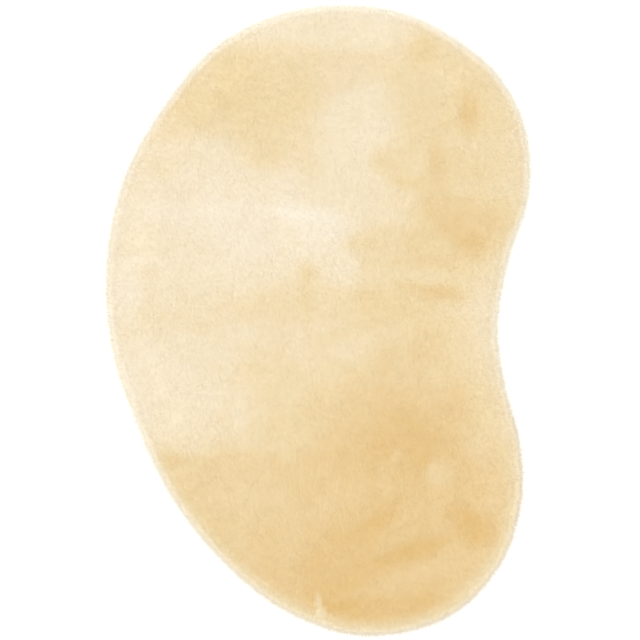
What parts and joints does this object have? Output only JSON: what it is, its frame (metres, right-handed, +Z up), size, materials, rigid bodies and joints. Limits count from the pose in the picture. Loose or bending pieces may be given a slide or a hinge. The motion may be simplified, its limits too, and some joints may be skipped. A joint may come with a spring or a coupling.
{
  "type": "organic shaped shag rug",
  "caption": "Flat bean-shaped shag rug whose soft cream pile falls over its edge. It lies on a floor and rests on its flat underside.",
  "frame": {"origin": "middle of the rug's box, on the floor it lies on", "axes": "+X across the rug towards its waist, +Y along its length towards the crown, +Z up"},
  "size_m": [1.2364, 1.8366, 0.0347],
  "materials": {
    "cream_plush": "dense cream plush pile with a velvety, unevenly brushed nap"
  },
  "bodies": {
    "root": {"shag_pile": "cream_plush"}
  },
  "joints": []
}
